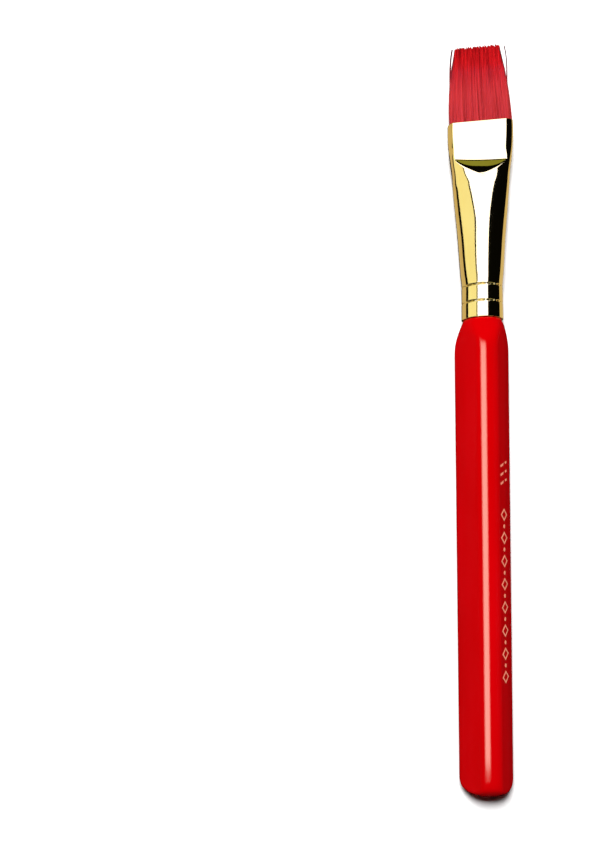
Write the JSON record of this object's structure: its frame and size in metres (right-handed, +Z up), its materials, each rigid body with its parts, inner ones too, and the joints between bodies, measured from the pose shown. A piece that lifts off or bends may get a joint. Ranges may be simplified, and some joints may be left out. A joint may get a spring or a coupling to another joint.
{
  "type": "flat brush",
  "caption": "Flat brush with a lacquered rounded-triangular wooden handle, a seamless metal ferrule pinched flat at its mouth, and a springy tuft of tapered synthetic filaments.",
  "frame": {"origin": "middle of the brush's footprint, on the surface that it lies on", "axes": "+Y along the brush towards the filaments, +Z up through the handle's upper ridge, +X to the right across the flat tuft"},
  "size_m": [0.0168, 0.1904, 0.0127],
  "materials": {
    "beech": "bare",
    "red_lacquer": "gloss",
    "pink_foil": "satin",
    "gold_brass": "polished",
    "glue": "satin",
    "resin": "gloss",
    "thread": "twisted",
    "filament": "satin"
  },
  "bodies": {
    "brush": {"handle_core": "beech", "lacquer_coat": "red_lacquer", "foil_marks": "pink_foil", "ferrule": "gold_brass", "tenon_glue": "glue", "resin_plug": "resin", "root_thread": "thread", "filament_root": "filament"},
    "tuft": {"filament_tuft": "filament"}
  },
  "joints": [
    {"name": "tuft_flex", "type": "hinge", "parent": "brush", "child": "tuft", "pos_m": [-0.00015, 0.07769, 0.00535], "axis": [0.9969, 0.0785, 0], "range_deg": [-15, 40], "stiffness_Nm_per_rad": 0.012}
  ]
}
